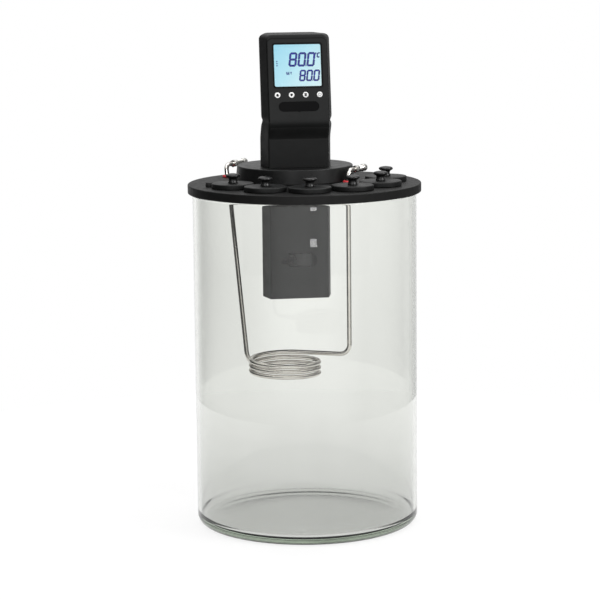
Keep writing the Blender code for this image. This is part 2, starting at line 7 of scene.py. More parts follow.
import math

import bmesh
import bpy
from mathutils import Matrix, Vector


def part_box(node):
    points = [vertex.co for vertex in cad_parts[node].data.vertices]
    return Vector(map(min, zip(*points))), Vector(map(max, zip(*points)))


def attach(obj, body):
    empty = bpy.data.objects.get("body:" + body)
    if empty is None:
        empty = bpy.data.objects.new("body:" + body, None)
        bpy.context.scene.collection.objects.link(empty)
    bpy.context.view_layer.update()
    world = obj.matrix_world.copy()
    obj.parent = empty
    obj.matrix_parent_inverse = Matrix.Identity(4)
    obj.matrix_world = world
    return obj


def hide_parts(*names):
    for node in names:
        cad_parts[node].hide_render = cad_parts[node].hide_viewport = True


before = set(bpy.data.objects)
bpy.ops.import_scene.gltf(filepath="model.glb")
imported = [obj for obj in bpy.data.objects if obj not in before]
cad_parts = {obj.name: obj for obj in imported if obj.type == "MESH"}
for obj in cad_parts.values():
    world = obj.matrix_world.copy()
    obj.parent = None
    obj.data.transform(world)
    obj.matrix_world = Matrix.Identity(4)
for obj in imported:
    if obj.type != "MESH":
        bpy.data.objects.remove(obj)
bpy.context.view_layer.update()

MM = 0.001  # metres in a millimetre
GAP = 0.3  # left between neighbouring pieces
CREASE = 32.0  # degrees; an edge that turns more is shaded as an edge

# The same sizes as in the part
JAR_RADIUS = 152.4
JAR_HEIGHT = 457.2
JAR_WALL = 5.0
JAR_FLOOR = 11.0
JAR_HEEL = 12.4
JAR_INNER_HEEL = 8.0
COVER_RADIUS = 158.75
COVER_THICKNESS = 12.0
COVER_STEP_RADIUS = 141.0
COVER_STEP_DEPTH = 3.0
PORT_COUNT = 6
PORT_HOLE = 25.5
PORT_LID_RADIUS = 28.4
PORT_LID_HEIGHT = 6.6
PORT_SPIGOT = 24.9
PLUG_HOLE = 5.0
OPENING_RADIUS = 73.5
COLLAR_BASE = 81.6
COLLAR_TOP = 79.6
HALF_FRONT = 41.0
HALF_WIDTH = 48.6
HALF_REAR = 38.0
COLUMN_FRONT = -48.0
FLARE_DEPTH = 32.0
HEAD_FLARE_DEPTH = 24.0
REAR = 36.0
SHELL_WALL = 2.5
SPLIT = 4.0  # plane between the two head shells
UNDERCUT = 528.0
CHIN = 551.0
CHIN_FRONT = -59.0
HEAD_TOP = 669.2
HEAD_BASE = 489.8
LEAN = math.radians(9.6)
PLATE = 2.5  # front cover's thickness
SHROUD_INSET = 1.0
SHROUD_BOTTOM = 310.0
SLOT_CENTRE = 363.0
SLOT_LENGTH = 48.6
SLOT_HEIGHT = 19.0
NOZZLE_PIVOT = (10.0, -20.0)
NOZZLE_REACH = 26.0
NOZZLE_ANGLE = math.radians(50)  # at rest, to the left of straight ahead
NOZZLE_RADIUS = 7.0
TUBE_RADIUS = 3.175
COIL_CENTRE = (-33.0, -26.0)
COIL_RADIUS = 46.2
COIL_PITCH = 7.2
COIL_TURNS = 3
COIL_TOP = 233.4
RIGHT_LEG = (57.5, -17.9)
LEFT_LEG = (-95.8, 96.7)  # at the height of the outlets: this leg slants
LEFT_FOOT = (-77.4, 25.5)
LEFT_OUTLET = 50.0
RIGHT_OUTLET = 46.0
OUTLET_ANGLE = math.radians(38)  # from +Y towards +X
GROMMET_NECK = 6.4
GROMMET_FLANGE = 7.2
GROMMET_HEIGHT = 465.5  # where the leg crosses the grommet's axis

# Face of the head: across from its middle, and up from the chin along its slope
FACE_HALF = 40.6
FACE_HEIGHT = 114.5
FACE_CORNER = 7.0
FACE_FOOT = 526.5  # height above the bench
DISPLAY = (0, 78.4)
BADGE_SPOT = (0, 22.8)
BUTTON_PITCH = 19.2
BUTTON_ROW = 38.5

# Back of the head: across from its middle, and up from the bench
INLET_SPOT = (0, 518.0)
SCREW_ACROSS = 21.0
SCREW_HEIGHTS = (499.0, 590.0)
VENT_LOWEST = 602.0
VENT_PITCH = 8.0
VENT_COUNT = 7


def middle(node):
    """Centre of a CAD node's box, in millimetres."""
    low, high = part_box(node)
    return (low + high) / 2 / MM


def high_of(node):
    """Highest corner of a CAD node's box, in millimetres."""
    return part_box(node)[1] / MM


def over(at):
    """Moves a piece from the jar's axis to a place on the cover."""
    return Matrix.Translation((at.x, at.y, 0))


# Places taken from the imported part
AXIS_AT = middle("motor")
COLLAR_AT = middle("mounting_collar")
COVER_TOP = high_of("cover_plate").z
COVER_UNDER = COVER_TOP - COVER_THICKNESS
COLLAR_UPPER = high_of("mounting_collar").z
OUTLET_HEIGHT = COVER_TOP + 16.7
PORTS = {i: middle(f"port_cover_{i}") for i in range(1, PORT_COUNT + 1)}
PLUG = middle("thermometer_plug")
AXIS = over(AXIS_AT)
PANEL = AXIS @ Matrix.Translation((0, CHIN_FRONT, CHIN)) @ Matrix.Rotation(-LEAN, 4, "X")


# ---- materials

def new_material(name):
    made = bpy.data.materials.new(name)
    made.use_nodes = True
    return made, made.node_tree, made.node_tree.nodes["Principled BSDF"]


def set_inputs(node, values):
    """Sets values on a node's own sockets."""
    for socket, value in values.items():
        node.inputs[socket].default_value = value


def noise(tree, scale, detail=3.0, stretch=(1.0, 1.0, 1.0)):
    place = tree.nodes.new("ShaderNodeTexCoord")
    mapping = tree.nodes.new("ShaderNodeMapping")
    made = tree.nodes.new("ShaderNodeTexNoise")
    set_inputs(mapping, {"Scale": stretch})
    set_inputs(made, {"Scale": scale, "Detail": detail})
    tree.links.new(place.outputs["Object"], mapping.inputs["Vector"])
    tree.links.new(mapping.outputs["Vector"], made.inputs["Vector"])
    return made.outputs["Fac"]


def ramp(tree, source, stops):
    """Colours along a value, from (place, colour) stops."""
    made = tree.nodes.new("ShaderNodeValToRGB")
    band = made.color_ramp
    while len(band.elements) < len(stops):
        band.elements.new(0.5)
    for element, (at, colour) in zip(band.elements, stops):
        element.position = at
        element.color = (*colour, 1.0)
    tree.links.new(source, made.inputs["Fac"])
    return made.outputs["Color"]


def spread(tree, source, low, high, start=0.3, end=0.7):
    """Value from low to high as the source goes from start to end."""
    made = tree.nodes.new("ShaderNodeMapRange")
    set_inputs(made, {"From Min": start, "From Max": end, "To Min": low, "To Max": high})
    tree.links.new(source, made.inputs["Value"])
    return made.outputs["Result"]


def calculated(tree, operation, first, second):
    made = tree.nodes.new("ShaderNodeMath")
    made.operation = operation
    tree.links.new(first, made.inputs[0])
    tree.links.new(second, made.inputs[1])
    return made.outputs["Value"]


def directions(tree, kind):
    """Splits a texture coordinate into X, Y and Z."""
    place = tree.nodes.new("ShaderNodeTexCoord")
    split = tree.nodes.new("ShaderNodeSeparateXYZ")
    tree.links.new(place.outputs[kind], split.inputs["Vector"])
    return split


def bump(tree, shader, source, distance, strength=1.0):
    made = tree.nodes.new("ShaderNodeBump")
    set_inputs(made, {"Strength": strength, "Distance": distance})
    tree.links.new(source, made.inputs["Height"])
    tree.links.new(made.outputs["Normal"], shader.inputs["Normal"])


def scaled(colour, share):
    return tuple(min(1.0, c * share) for c in colour)


def moulded(name, colour, roughness, grain=700.0, depth=0.05, specular=0.5, mottle=0.16, spots=45.0):
    """Moulded plastic: a fine grain, its depth in millimetres, slight mottling and uneven gloss."""
    made, tree, shader = new_material(name)
    soft = noise(tree, spots, 4.0)
    tree.links.new(ramp(tree, soft, [(0.3, scaled(colour, 1 - mottle)), (0.7, scaled(colour, 1 + mottle))]),
                   shader.inputs["Base Color"])
    tree.links.new(spread(tree, noise(tree, spots * 1.7, 3.0), roughness - 0.06, roughness + 0.06),
                   shader.inputs["Roughness"])
    set_inputs(shader, {"Specular IOR Level": specular})
    bump(tree, shader, noise(tree, grain, 2.0), depth * MM)
    return made


def metal(name, colour, roughness, brushed=(1.0, 1.0, 1.0), scale=900.0):
    """Metal with fine drawing marks and slight stains."""
    stain = 0.07
    made, tree, shader = new_material(name)
    set_inputs(shader, {"Metallic": 1.0})
    soft = noise(tree, 70.0, 4.0)
    tree.links.new(ramp(tree, soft, [(0.3, scaled(colour, 1 - stain)), (0.7, scaled(colour, 1 + stain))]),
                   shader.inputs["Base Color"])
    tree.links.new(spread(tree, noise(tree, 160.0, 3.0), roughness * 0.75, roughness * 1.3),
                   shader.inputs["Roughness"])
    bump(tree, shader, noise(tree, scale, 2.0, brushed), 0.012 * MM)
    return made


def clear(name, tint, wave, ior):
    """Clear material with a slight wave, its depth in millimetres."""
    made, tree, shader = new_material(name)
    set_inputs(shader, {"Transmission Weight": 1.0, "IOR": ior, "Roughness": 0.0})
    soft = noise(tree, 14.0, 2.0, (1.0, 1.0, 0.25))
    tree.links.new(ramp(tree, soft, [(0.3, scaled(tint, 0.99)), (0.7, tint)]), shader.inputs["Base Color"])
    bump(tree, shader, noise(tree, 22.0, 1.0, (1.0, 1.0, 0.12)), wave * MM, 0.6)
    return made


def make_jar_glass():
    """Glass with painted shade, its tone darker towards the jar's foot, and green where it is thick."""
    made = clear("jar_glass", (1.0, 1.0, 1.0), 0.04, 1.47)
    tree = made.node_tree
    shader = tree.nodes["Principled BSDF"]
    height = directions(tree, "Object").outputs["Z"]
    uneven = spread(tree, noise(tree, 9.0, 2.0, (1.0, 1.0, 0.3)), -0.04, 0.04)
    painted_shade_level = calculated(tree, "ADD", spread(tree, height, 0.0, 1.0, 0.0, JAR_HEIGHT * MM), uneven)
    # painted shade: the glass's tone falls from the rim down to the foot, for the shade low in the jar
    tones = [(0.06, 0.76), (0.18, 0.79), (0.3, 0.845), (0.4, 0.875), (0.6, 0.89), (0.9, 0.92)]
    tree.links.new(ramp(tree, painted_shade_level, [(at, (tone, tone * 1.006, tone * 0.985)) for at, tone in tones]),
                   shader.inputs["Base Color"])
    volume = tree.nodes.new("ShaderNodeVolumeAbsorption")
    set_inputs(volume, {"Color": (0.5, 0.62, 0.46, 1.0), "Density": 5.0})
    tree.links.new(volume.outputs["Volume"], tree.nodes["Material Output"].inputs["Volume"])
    return made


def make_screen():
    """Backlit display: pale cyan, bluer towards its upper left corner."""
    made, tree, shader = new_material("screen")
    left, right, low, high = (at * MM for at in (AXIS_AT.x - 32, AXIS_AT.x + 32, 598, 658))
    place = directions(tree, "Object")
    across = spread(tree, place.outputs["X"], 0.0, 0.55, left, right)
    down = spread(tree, place.outputs["Z"], 0.45, 0.0, low, high)
    colour = ramp(tree, calculated(tree, "ADD", across, down),
                  [(0.05, (0.32, 0.7, 0.86)), (0.45, (0.46, 0.79, 0.9)), (0.95, (0.7, 0.89, 0.92))])
    tree.links.new(colour, shader.inputs["Emission Color"])
    set_inputs(shader, {"Emission Strength": 0.92, "Base Color": (0.08, 0.12, 0.14, 1.0),
                        "Specular IOR Level": 0.2})
    tree.links.new(spread(tree, noise(tree, 300.0), 0.45, 0.6), shader.inputs["Roughness"])
    return made


GLASS = make_jar_glass()
COVER = moulded("cover_plastic", (0.005, 0.005, 0.0048), 0.5, grain=900, depth=0.06, specular=0.19,
                mottle=0.2, spots=90)
COLLAR = moulded("collar_plastic", (0.006, 0.0062, 0.0062), 0.4, grain=900, depth=0.06, specular=0.32,
                 mottle=0.2, spots=70)
LID = moulded("lid_plastic", (0.005, 0.0053, 0.0052), 0.46, grain=800, depth=0.06, specular=0.27,
              mottle=0.2, spots=60)
KNOB = moulded("knob_plastic", (0.005, 0.005, 0.0052), 0.34, grain=500, depth=0.02, mottle=0.2, spots=80)
RUBBER = moulded("stopper_rubber", (0.012, 0.012, 0.012), 0.62, grain=600, depth=0.06, specular=0.4)
HEAD = moulded("head_plastic", (0.007, 0.0073, 0.0073), 0.48, grain=1100, depth=0.02, specular=0.2,
               mottle=0.12, spots=60)
FACE = moulded("face_plastic", (0.009, 0.0095, 0.0095), 0.48, grain=1100, depth=0.03, specular=0.21,
               mottle=0.12, spots=60)
SHROUD = moulded("shroud_plastic", (0.007, 0.007, 0.0073), 0.45, grain=900, depth=0.03, specular=0.2,
                 mottle=0.15, spots=30)
STEEL = metal("stainless", (0.74, 0.71, 0.67), 0.11, (1.0, 1.0, 0.15), 1200)
FITTING = metal("plated_fitting", (0.72, 0.71, 0.68), 0.2)
SCREW = metal("screw_steel", (0.35, 0.35, 0.36), 0.28)
CHASSIS = metal("chassis_metal", (0.5, 0.51, 0.52), 0.35, (0.2, 1.0, 1.0))
MOTOR = metal("motor_metal", (0.22, 0.23, 0.24), 0.42)
SILICONE = moulded("red_silicone", (0.62, 0.035, 0.045), 0.5, grain=500, depth=0.03, specular=0.45,
                   mottle=0.1)
BADGE = moulded("badge_black", (0.002, 0.002, 0.0022), 0.4, depth=0.01, specular=0.08, mottle=0.1)
BEZEL = moulded("bezel_black", (0.002, 0.002, 0.002), 0.5, depth=0.01, specular=0.12, mottle=0.1)
# painted shadow: black for a ring that stands for the shade at the front cover's edge
PAINTED_SHADOW = moulded("painted_shadow_black", (0.002, 0.002, 0.002), 0.8, depth=0.01, specular=0.15, mottle=0.1)
WHITE = moulded("button_white", (0.93, 0.93, 0.92), 0.4, grain=900, depth=0.02, mottle=0.03)
INK = moulded("symbol_ink", (0.004, 0.004, 0.005), 0.5, depth=0.01, specular=0.3)
GREY_INK = moulded("symbol_grey", (0.2, 0.21, 0.22), 0.5, depth=0.01, specular=0.3)
SEGMENT = moulded("segment_blue", (0.0, 0.014, 0.36), 0.6, depth=0.01, specular=0.0, mottle=0.08)
PUMP = moulded("pump_plastic", (0.016, 0.016, 0.0165), 0.45)
FOAM = moulded("float_foam", (0.6, 0.57, 0.5), 0.7, grain=900, depth=0.12, specular=0.3, mottle=0.12)
BOARD = moulded("board_green", (0.015, 0.13, 0.05), 0.45, grain=400, mottle=0.3, spots=120)
INLET = moulded("inlet_plastic", (0.01, 0.01, 0.011), 0.34)
WINDOW = clear("window_clear", (0.96, 0.98, 0.985), 0.004, 1.45)
set_inputs(WINDOW.node_tree.nodes["Principled BSDF"], {"Specular IOR Level": 0.2})
SCREEN = make_screen()


# ---- shapes

def place_mesh(name, shape, colour, turn=None, sharp=CREASE):
    """Turns a bmesh in millimetres into an object in metres, with its place in its mesh."""
    bmesh.ops.recalc_face_normals(shape, faces=shape.faces)
    mesh = bpy.data.meshes.new(name)
    shape.to_mesh(mesh)
    shape.free()
    mesh.transform(Matrix.Scale(MM, 4) @ (turn or Matrix.Identity(4)))
    mesh.shade_smooth()
    mesh.set_sharp_from_angle(angle=math.radians(sharp))
    made = bpy.data.objects.new(name, mesh)
    bpy.context.scene.collection.objects.link(made)
    if colour:
        mesh.materials.append(colour)
    return made


def arc(centre, radius, start, end, steps):
    """Points of an arc between two angles in degrees."""
    angles = [math.radians(start + (end - start) * i / steps) for i in range(steps + 1)]
    return [(centre[0] + radius * math.cos(a), centre[1] + radius * math.sin(a)) for a in angles]


def skin(shape, rings, closed=False):
    """Faces from ring to ring, with a face over each end unless the rings meet again."""
    for lower, upper in zip(rings, rings[1:] + rings[:1] if closed else rings[1:]):
        for i in range(len(lower)):
            j = (i + 1) % len(lower)
            shape.faces.new((lower[i], lower[j], upper[j], upper[i]))
    if not closed:
        shape.faces.new(rings[0])
        shape.faces.new(rings[-1])


def lathe(name, profile, colour, turn=None, sides=96, sharp=CREASE):
    """Solid of revolution. Its profile of (radius, height) is a loop, or a line from axis to axis."""
    shape = bmesh.new()
    columns = []
    closed = profile[0][0] > 0
    ring = [math.tau * i / sides for i in range(sides)]
    for radius, height in profile:
        if radius == 0:
            columns.append([shape.verts.new((0, 0, height))] * sides)
        else:
            columns.append([shape.verts.new((radius * math.cos(a), radius * math.sin(a), height))
                            for a in ring])
    for lower, upper in list(zip(columns, columns[1:])) + ([(columns[-1], columns[0])] if closed else []):
        for i in range(sides):
            j = (i + 1) % sides
            corners = [lower[i], lower[j], upper[j], upper[i]]
            unique = [v for n, v in enumerate(corners) if v not in corners[:n]]
            if len(unique) > 2:
                shape.faces.new(unique)
    return place_mesh(name, shape, colour, turn, sharp)


def loft(name, sections, colour, turn=None, sharp=CREASE):
    """Closed body through sections with equal numbers of points."""
    shape = bmesh.new()
    skin(shape, [[shape.verts.new(point) for point in section] for section in sections])
    return place_mesh(name, shape, colour, turn, sharp)


def rounded(corners, radii, steps=8):
    """Flat outline with its corners rounded, all by one radius or each by its own."""
    points = []
    for i, corner in enumerate(corners):
        radius = radii[i] if isinstance(radii, (list, tuple)) else radii
        here = Vector(corner)
        before = (Vector(corners[i - 1]) - here).normalized()
        after = (Vector(corners[(i + 1) % len(corners)]) - here).normalized()
        half = before.angle(after) / 2
        reach = radius / math.tan(half)
        centre = here + (before + after).normalized() * radius / math.sin(half)
        first = here + before * reach - centre
        turn = first.angle_signed(here + after * reach - centre)
        for n in range(steps + 1):
            points.append(centre + Matrix.Rotation(-turn * n / steps, 2) @ first)
    return points


def box_outline(half_x, half_y, radius, steps=8, centre=(0.0, 0.0)):
    x, y = centre
    corners = [(x - half_x, y - half_y), (x + half_x, y - half_y),
               (x + half_x, y + half_y), (x - half_x, y + half_y)]
    return rounded(corners, radius, steps)


def upright(name, outline, low, high, colour, turn=None):
    """Plan outline carried from one height to another."""
    return loft(name, [[(x, y, z) for x, y in outline] for z in (low, high)], colour, turn)


def facing(name, outline, front, back, colour, turn=None):
    """Outline seen from the front, carried from front to back."""
    return loft(name, [[(x, y, z) for x, z in outline] for y in (front, back)], colour, turn)


def rod(name, start, end, radius, colour, turn=None, sides=32):
    start, end = Vector(start), Vector(end)
    length = (end - start).length
    lay = Matrix.Translation(start) @ (end - start).to_track_quat("Z", "Y").to_matrix().to_4x4()
    profile = [(0, 0), (radius, 0), (radius, length), (0, length)]
    return lathe(name, profile, colour, (turn or Matrix()) @ lay, sides)


def settle(target):
    """Applies a piece's modifiers."""
    graph = bpy.context.evaluated_depsgraph_get()
    mesh = bpy.data.meshes.new_from_object(target.evaluated_get(graph))
    target.modifiers.clear()
    target.data = mesh
    return target


def combine(target, tools, operation):
    for tool in tools:
        step = target.modifiers.new(tool.name, "BOOLEAN")
        step.object = tool
        step.operation = operation
    settle(target)
    for tool in tools:
        bpy.data.objects.remove(tool, do_unlink=True)
    target.data.shade_smooth()
    target.data.set_sharp_from_angle(angle=math.radians(CREASE))
    step = target.modifiers.new("flat faces", "WEIGHTED_NORMAL")
    step.weight = 100
    step.keep_sharp = True
    return settle(target)


def cut(target, *tools):
    return combine(target, tools, "DIFFERENCE")


def join(target, *tools):
    return combine(target, tools, "UNION")


def bevel(target, width, segments=3):
    step = target.modifiers.new("edges", "BEVEL")
    step.width = width * MM
    step.segments = segments
    step.limit_method = "ANGLE"
    step.angle_limit = math.radians(40.0)
    step.harden_normals = True
    return settle(target)


def put(piece, body, slot, *nodes):
    """Hangs a finished piece on its body and hides the CAD nodes that it stands for. The slot is not used.
    """
    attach(piece, body)
    if nodes:
        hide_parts(*nodes)
    return piece


def sweep(name, points, radius, colour):
    """Round bar along a route, capped at both ends."""
    sides = 20
    shape = bmesh.new()
    rings = []
    along = (points[1] - points[0]).normalized()
    out = along.orthogonal().normalized()
    for i, point in enumerate(points):
        ahead = points[min(i + 1, len(points) - 1)] - points[max(i - 1, 0)]
        turn = along.rotation_difference(ahead.normalized())
        along = ahead.normalized()
        out = (turn @ out).normalized()
        side = along.cross(out)
        rings.append([shape.verts.new(point + (out * math.cos(a) + side * math.sin(a)) * radius)
                      for a in (math.tau * n / sides for n in range(sides))])
    skin(shape, rings)
    return place_mesh(name, shape, colour, sharp=50.0)


# ---- jar, cover and ports

def make_jar():
    inner = JAR_RADIUS - JAR_WALL
    near = 0.7  # a narrow band beside each curve, so that the long straight walls are shaded flat
    foot = JAR_FLOOR + JAR_INNER_HEEL
    heel = arc((JAR_RADIUS - JAR_HEEL, JAR_HEEL), JAR_HEEL, -90, 0, 12)
    inner_heel = arc((inner - JAR_INNER_HEEL, foot), JAR_INNER_HEEL, 0, -90, 10)
    rim = arc(((JAR_RADIUS + inner) / 2, JAR_HEIGHT - JAR_WALL / 2), JAR_WALL / 2, 0, 180, 10)
    bands = [i / 8 for i in range(1, 8)]
    side_outer = [(JAR_RADIUS, JAR_HEEL + (JAR_HEIGHT - 15.0) * share) for share in bands]
    side_inner = [(inner, JAR_HEIGHT - 10 - (JAR_HEIGHT - 40.0) * share) for share in bands]
    under = [(0, 2.2), (70, 1.9), (110, 1.2), (128, 0.3)]
    floor = [(110, JAR_FLOOR + 0.1), (60, JAR_FLOOR + 0.5), (0, JAR_FLOOR + 0.8)]
    rim_foot = rim[0][1] - near
    profile = under + heel + [(JAR_RADIUS, JAR_HEEL + near)] + side_outer + [(JAR_RADIUS, rim_foot)]
    profile += rim + [(inner, rim_foot)] + side_inner + [(inner, foot + near)] + inner_heel
    profile += [(inner - JAR_INNER_HEEL - near, JAR_FLOOR)] + floor
    put(lathe("jar_wall", profile, GLASS, sides=256, sharp=60), "jar", "clear_glass", "glass_jar")


def make_cover():
    edge = 1.3
    under = COVER_UNDER
    step = under - COVER_STEP_DEPTH
    profile = [(0, step), (COVER_STEP_RADIUS - 0.8, step), (COVER_STEP_RADIUS, step + 0.8),
               (COVER_STEP_RADIUS, under)]
    profile += arc((COVER_RADIUS - edge, under + edge), edge, -90, 0, 5)
    profile += arc((COVER_RADIUS - edge, COVER_TOP - edge), edge, 0, 90, 5)
    profile += [(0, COVER_TOP)]
    plate = lathe("cover_disc", profile, COVER, sides=224)
    holes = [(p, PORT_HOLE, 64) for p in PORTS.values()]
    holes.append((PLUG, PLUG_HOLE, 32))
    holes += [(middle(f"tube_grommet_{side}"), GROMMET_NECK + GAP, 32) for side in ("left", "right")]
    holes.append((COLLAR_AT, OPENING_RADIUS, 128))
    low, high = under - 8, COVER_TOP + 5
    tools = [lathe(f"hole_{i}", [(0, low), (radius, low), (radius, high), (0, high)], None, over(at), sides)
             for i, (at, radius, sides) in enumerate(holes)]
    put(cut(plate, *tools), "cover", "cover_plastic", "cover_plate")


def make_port(number, at):
    under = COVER_TOP + GAP
    top = under + PORT_LID_HEIGHT
    edge = 1.4
    spot = over(at)
    lid = [(3.3, under - 6.0), *arc((PORT_SPIGOT - 1.0, under - 5.0), 1.0, -90, 0, 4), (PORT_SPIGOT, under),
           (PORT_LID_RADIUS - 0.4, under), (PORT_LID_RADIUS, under + 0.5),
           *arc((PORT_LID_RADIUS - edge, top - edge), edge, 0, 90, 6), (16.0, top), (3.3, top)]
    put(lathe(f"lid_{number}", lid, LID, spot), f"port_{number}", "lid_plastic", f"port_cover_{number}")
    foot = top + GAP
    knob = [(0, top - 9.0), (3.0, top - 9.0), (3.0, foot), (6.5, foot), (6.6, foot + 0.6), (6.1, foot + 1.8),
            (5.6, foot + 3.4), (5.5, foot + 4.6), (5.8, foot + 5.8), (6.7, foot + 6.9), (8.2, foot + 7.7),
            (9.1, foot + 8.2), (9.55, foot + 8.9), (9.6, foot + 9.7), (9.3, foot + 10.5), (8.6, foot + 11.2),
            (7.6, foot + 11.7), (6.0, foot + 12.1), (3.0, foot + 12.6), (0, foot + 12.8)]
    made = lathe(f"knob_{number}", knob, KNOB, spot, 56, 50)
    put(made, f"port_{number}", "knob_plastic", f"port_knob_{number}")


def make_plug():
    under = COVER_TOP + GAP
    profile = [(0, under - 12.0), (3.6, under - 12.0), (4.0, under - 11.5), (4.6, under), (5.5, under),
               (5.6, under + 0.4), (5.6, under + 4.8), (5.3, under + 5.4), (4.7, under + 5.6),
               (0, under + 5.6)]
    stopper = lathe("stopper", profile, RUBBER, over(PLUG), 48)
    put(stopper, "thermometer_stopper", "stopper_rubber", "thermometer_plug")


# ---- cooling coil

def bend(points, radii):
    """Route through points, with each inner corner turned on its radius."""
    steps = 14
    route = [Vector(points[0])]
    for i in range(1, len(points) - 1):
        here = Vector(points[i])
        before = (Vector(points[i - 1]) - here).normalized()
        after = (Vector(points[i + 1]) - here).normalized()
        half = before.angle(after) / 2
        reach = radii[i - 1] / math.tan(half)
        centre = here + (before + after).normalized() * radii[i - 1] / math.sin(half)
        first = here + before * reach - centre
        last = here + after * reach - centre
        axis = first.cross(last)
        turn = first.angle(last)
        route += [centre + Matrix.Rotation(turn * n / steps, 3, axis) @ first for n in range(steps + 1)]
    route.append(Vector(points[-1]))
    return route


def tangent_angle(point, side):
    """Angle round the coil where a straight tube from the point meets its ring."""
    away = Vector(point) - Vector(COIL_CENTRE)
    return math.atan2(away.y, away.x) + side * math.acos(COIL_RADIUS / away.length)


def outlet_end(leg, length):
    return (leg[0] + length * math.sin(OUTLET_ANGLE), leg[1] + length * math.cos(OUTLET_ANGLE))


def coil_route():
    """Centre line of the tube from outlet to outlet, and how far the turns come down."""
    start = tangent_angle(RIGHT_LEG, 1)
    end = tangent_angle(LEFT_FOOT, -1) + COIL_TURNS * math.tau
    drop = COIL_PITCH * (end - start) / math.tau
    steps = round((end - start) / math.tau * 80)
    turns = []
    for n in range(steps + 1):
        angle = start + (end - start) * n / steps
        turns.append(Vector((COIL_CENTRE[0] + COIL_RADIUS * math.cos(angle),
                             COIL_CENTRE[1] + COIL_RADIUS * math.sin(angle), COIL_TOP - drop * n / steps)))
    right = bend([(*outlet_end(RIGHT_LEG, RIGHT_OUTLET), OUTLET_HEIGHT), (*RIGHT_LEG, OUTLET_HEIGHT),
                  (*RIGHT_LEG, COIL_TOP), turns[0]], (9.0, 13.6))
    left = bend([turns[-1], (*LEFT_FOOT, COIL_TOP - drop), (*LEFT_LEG, OUTLET_HEIGHT),
                 (*outlet_end(LEFT_LEG, LEFT_OUTLET), OUTLET_HEIGHT)], (25.0, 9.0))
    return right[:-1] + turns + left[1:], drop


def hexagon(name, half, length, bore, colour, turn):
    """Hexagon nut with chamfered corners."""
    sides = 60
    chamfer = 0.6
    narrow, wide = half * 0.95, half * 1.06
    angles = [math.tau * i / sides for i in range(sides)]
    part = math.pi / 6
    flats = [half * math.cos(part) / math.cos((a + part) % (2 * part) - part) for a in angles]
    outside = ((0.0, narrow), (chamfer, wide), (length - chamfer, wide), (length, narrow))
    sections = [[(min(flat, most), height) for flat in flats] for height, most in outside]
    sections += [[(bore, height)] * sides for height in (length, 0.0)]
    shape = bmesh.new()
    rings = [[shape.verts.new((reach * math.cos(a), reach * math.sin(a), height))
              for a, (reach, height) in zip(angles, section)] for section in sections]
    skin(shape, rings, closed=True)
    return place_mesh(name, shape, colour, turn, 22)


def make_grommet(side, lean):
    """Silicone grommet, with its bore leaning as the leg of the coil does."""
    mid = middle(f"tube_grommet_{side}")
    bore = TUBE_RADIUS + GAP
    under = COVER_TOP + GAP
    profile = [(bore, COVER_UNDER), (GROMMET_NECK, COVER_UNDER), (GROMMET_NECK, under), (6.9, under),
               (GROMMET_FLANGE, under + 0.4), (GROMMET_FLANGE, under + 1.8), (7.0, under + 2.3),
               (6.6, under + 2.6), (6.0, under + 2.8), (bore, under + 2.8)]
    grommet = lathe(f"grommet_{side}", profile, SILICONE, over(mid), 40)
    for vertex in grommet.data.vertices:
        out = Vector((vertex.co.x - mid.x * MM, vertex.co.y - mid.y * MM))
        if out.length < (bore + 0.1) * MM:
            shift = lean * (vertex.co.z - GROMMET_HEIGHT * MM)
            vertex.co.x += shift.x
            vertex.co.y += shift.y
    put(grommet, "cover", "red_silicone", f"tube_grommet_{side}")


def make_fittings(side, leg, reach):
    """Nut and barbed hose connector on an outlet of the coil."""
    nut_from, connector_from = 17.5, 22.6
    bore = TUBE_RADIUS + GAP
    along = Vector((math.sin(OUTLET_ANGLE), math.cos(OUTLET_ANGLE), 0))
    lay = Matrix.Translation((*leg, OUTLET_HEIGHT)) @ along.to_track_quat("Z", "Y").to_matrix().to_4x4()
    at = lay @ Matrix.Translation((0, 0, nut_from))
    put(hexagon(f"nut_{side}", 5.2, 4.5, bore, FITTING, at), "cover", "plated_fitting", f"tube_nut_{side}")
    long = reach + 1.0 - connector_from
    pitch = 2.4
    barbs = [(bore, 0), (4.3, 0), (4.7, 0.4), (4.7, 4.6), (4.3, 5.0)]
    for i in range(round((long - 14.0) / pitch)):
        base = 5.4 + i * pitch
        barbs += [(4.05, base), (4.4, base + 0.6), (4.4, base + 1.2), (4.05, base + 2.0)]
    barbs += [(4.1, long - 8.2), *arc((4.2, long - 7.0), 0.8, -90, 0, 4)]
    barbs += [*arc((4.2, long - 0.8), 0.8, 0, 90, 4), (2.4, long), (2.1, long - 0.4), (2.1, long - 1.0),
              (bore, long - 1.0)]
    at = lay @ Matrix.Translation((0, 0, connector_from))
    connector = lathe(f"connector_{side}", barbs, FITTING, at, 36, 30)
    put(connector, "cover", "plated_fitting", f"hose_connector_{side}")


def make_coil():
    route, drop = coil_route()
    put(sweep("coil_tube", route, TUBE_RADIUS, STEEL), "cover", "stainless_tube", "cooling_coil")
    slope = (Vector(LEFT_LEG) - Vector(LEFT_FOOT)) / (OUTLET_HEIGHT - COIL_TOP + drop)
    for side, leg, lean, reach in (("left", LEFT_LEG, slope, LEFT_OUTLET),
                                   ("right", RIGHT_LEG, Vector((0, 0)), RIGHT_OUTLET)):
        make_grommet(side, lean)
        make_fittings(side, leg, reach)


# ---- circulator

def circulator_outline(front, inset=0.0, flare=FLARE_DEPTH, tuck=0.0, widen=0.0):
    """Plan of the circulator. A tuck draws its sides in fully, and its front and rear by a share."""
    half_front = HALF_FRONT - inset - tuck
    half = HALF_WIDTH - inset - tuck + widen
    half_rear = HALF_REAR - inset - tuck
    near = front + inset + tuck / 3
    far = REAR - inset - tuck / 2
    corners = [(-half_front, near), (half_front, near), (half, front + flare),
               (half_rear, far), (-half_rear, far), (-half, front + flare)]
    rear_round = 13.0 - inset - tuck
    return rounded(corners, [3.0, 3.0, 12.0, rear_round, rear_round, 12.0])


